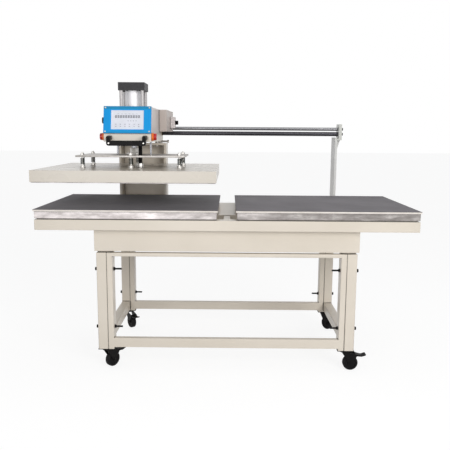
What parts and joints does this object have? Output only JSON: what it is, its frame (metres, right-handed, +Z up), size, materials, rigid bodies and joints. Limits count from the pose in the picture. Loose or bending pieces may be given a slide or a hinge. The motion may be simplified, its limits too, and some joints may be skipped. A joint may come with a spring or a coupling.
{
  "type": "dual station heat press",
  "caption": "Heat press with a sprung hot platen under an air cylinder, on a head that slides along overhead rods between padded lower tables.",
  "frame": {"origin": "on the floor, under the middle of the press's box", "axes": "+X to the operator's right, +Y away from the operator, +Z up"},
  "size_m": [2.063, 1.075, 1.59],
  "materials": {
    "beige_paint": "satin powder coat",
    "light_paint": "satin powder coat",
    "aluminium_plate": "milled",
    "foam": "soft sponge",
    "pad_sheet": "matte",
    "rod_steel": "ground and plated",
    "bright_steel": "zinc plated",
    "black_steel": "black satin",
    "blue_panel": "gloss",
    "white_panel": "satin",
    "black_plastic": "satin",
    "red_plastic": "gloss",
    "bush_metal": "turned",
    "insulation": "mineral board",
    "spring_steel": "dark oiled",
    "tyre_rubber": "matte",
    "cylinder_black": "anodised dark"
  },
  "bodies": {
    "stand": {"side_frame_left": "beige_paint", "side_frame_right": "beige_paint", "front_frame": "beige_paint", "rear_frame": "beige_paint", "frame_bolts": "black_steel", "base_frame": "beige_paint", "base_beams": "beige_paint", "table_frame": "beige_paint", "lower_plates": "aluminium_plate", "foam_layers": "foam", "pads": "pad_sheet", "post_left": "light_paint", "post_right": "light_paint", "overhead_rods": "rod_steel", "carriage_rail": "rod_steel", "caster_plates": "black_steel"},
    "carriage": {"column": "beige_paint", "carriage_blocks": "bright_steel", "bearing_blocks": "beige_paint", "linear_bushes": "bush_metal", "arm_housing": "beige_paint", "head_box": "beige_paint", "control_box": "light_paint", "panel_bezel": "blue_panel", "display_panel": "white_panel", "handle": "black_plastic", "head_bolts": "bright_steel", "cylinder_caps": "cylinder_black", "cylinder_barrel": "aluminium_plate", "tie_rods": "bright_steel", "valve_block": "aluminium_plate", "power_inlet": "black_plastic", "button_collars": "red_plastic"},
    "press": {"piston_rod": "rod_steel", "rod_coupling": "bright_steel", "guide_rods": "rod_steel", "pressure_plate": "bright_steel", "lead_sleeve": "black_plastic"},
    "platen": {"heat_platen": "aluminium_plate", "platen_insulation": "insulation", "platen_cover": "beige_paint", "lead_collar": "bright_steel", "spring_bolts": "bright_steel", "platen_springs": "spring_steel"},
    "button_left": {"start_button_left": "red_plastic"},
    "button_right": {"start_button_right": "red_plastic"},
    "side_dial": {"side_knob": "black_plastic"},
    "regulator_dial": {"regulator_knob": "black_plastic"},
    "caster_fl": {"caster_fork_fl": "black_steel"},
    "wheel_fl": {"caster_wheel_fl": "tyre_rubber"},
    "pedal_fl": {"brake_pedal_fl": "black_steel"},
    "caster_fr": {"caster_fork_fr": "black_steel"},
    "wheel_fr": {"caster_wheel_fr": "tyre_rubber"},
    "pedal_fr": {"brake_pedal_fr": "black_steel"},
    "caster_rl": {"caster_fork_rl": "black_steel"},
    "wheel_rl": {"caster_wheel_rl": "tyre_rubber"},
    "pedal_rl": {"brake_pedal_rl": "black_steel"},
    "caster_rr": {"caster_fork_rr": "black_steel"},
    "wheel_rr": {"caster_wheel_rr": "tyre_rubber"},
    "pedal_rr": {"brake_pedal_rr": "black_steel"}
  },
  "joints": [
    {"name": "head_slide", "type": "slide", "parent": "stand", "child": "carriage", "axis": [1, 0, 0], "range_m": [0, 1.093]},
    {"name": "press_stroke", "type": "slide", "parent": "carriage", "child": "press", "axis": [0, 0, 1], "range_m": [-0.14, 0], "deforming": ["lead_sleeve"]},
    {"name": "platen_float", "type": "slide", "parent": "press", "child": "platen", "axis": [0, 0, 1], "range_m": [0, 0.012], "stiffness_N_per_m": 180000, "springref_m": -0.004, "deforming": ["platen_springs"]},
    {"name": "left_start", "type": "slide", "parent": "carriage", "child": "button_left", "axis": [1, 0, 0], "range_m": [0, 0.005], "stiffness_N_per_m": 400, "springref_m": -0.004},
    {"name": "right_start", "type": "slide", "parent": "carriage", "child": "button_right", "axis": [-1, 0, 0], "range_m": [0, 0.005], "stiffness_N_per_m": 400, "springref_m": -0.004},
    {"name": "side_dial_turn", "type": "hinge", "parent": "carriage", "child": "side_dial", "pos_m": [-0.6755, -0.32834, 1.374], "axis": [-1, 0, 0], "range_deg": [-135, 135]},
    {"name": "regulator_turn", "type": "hinge", "parent": "carriage", "child": "regulator_dial", "pos_m": [-0.34, 0.2375, 1.375], "axis": [1, 0, 0], "range_deg": [-360, 360]},
    {"name": "swivel_fl", "type": "hinge", "parent": "stand", "child": "caster_fl", "pos_m": [-0.6645, -0.4525, 0.1], "axis": [0, 0, 1], "continuous": true},
    {"name": "roll_fl", "type": "hinge", "parent": "caster_fl", "child": "wheel_fl", "pos_m": [-0.64393, -0.42799, 0.042], "axis": [-0.766, 0.6428, 0], "continuous": true},
    {"name": "brake_fl", "type": "hinge", "parent": "caster_fl", "child": "pedal_fl", "pos_m": [-0.62465, -0.40501, 0.088], "axis": [-0.766, 0.6428, 0], "range_deg": [0, 18]},
    {"name": "swivel_fr", "type": "hinge", "parent": "stand", "child": "caster_fr", "pos_m": [0.6645, -0.4525, 0.1], "axis": [0, 0, 1], "continuous": true},
    {"name": "roll_fr", "type": "hinge", "parent": "caster_fr", "child": "wheel_fr", "pos_m": [0.6965, -0.4525, 0.042], "axis": [0, 1, 0], "continuous": true},
    {"name": "brake_fr", "type": "hinge", "parent": "caster_fr", "child": "pedal_fr", "pos_m": [0.7265, -0.4525, 0.088], "axis": [0, 1, 0], "range_deg": [0, 18]},
    {"name": "swivel_rl", "type": "hinge", "parent": "stand", "child": "caster_rl", "pos_m": [-0.6645, 0.2595, 0.1], "axis": [0, 0, 1], "continuous": true},
    {"name": "roll_rl", "type": "hinge", "parent": "caster_rl", "child": "wheel_rl", "pos_m": [-0.64615, 0.23329, 0.042], "axis": [0.8192, 0.5736, 0], "continuous": true},
    {"name": "brake_rl", "type": "hinge", "parent": "caster_rl", "child": "pedal_rl", "pos_m": [-0.62894, 0.20871, 0.088], "axis": [0.8192, 0.5736, 0], "range_deg": [0, 18]},
    {"name": "swivel_rr", "type": "hinge", "parent": "stand", "child": "caster_rr", "pos_m": [0.6645, 0.2595, 0.1], "axis": [0, 0, 1], "continuous": true},
    {"name": "roll_rr", "type": "hinge", "parent": "caster_rr", "child": "wheel_rr", "pos_m": [0.68507, 0.23499, 0.042], "axis": [0.766, 0.6428, 0], "continuous": true},
    {"name": "brake_rr", "type": "hinge", "parent": "caster_rr", "child": "pedal_rr", "pos_m": [0.70435, 0.212, 0.088], "axis": [0.766, 0.6428, 0], "range_deg": [0, 18]}
  ]
}
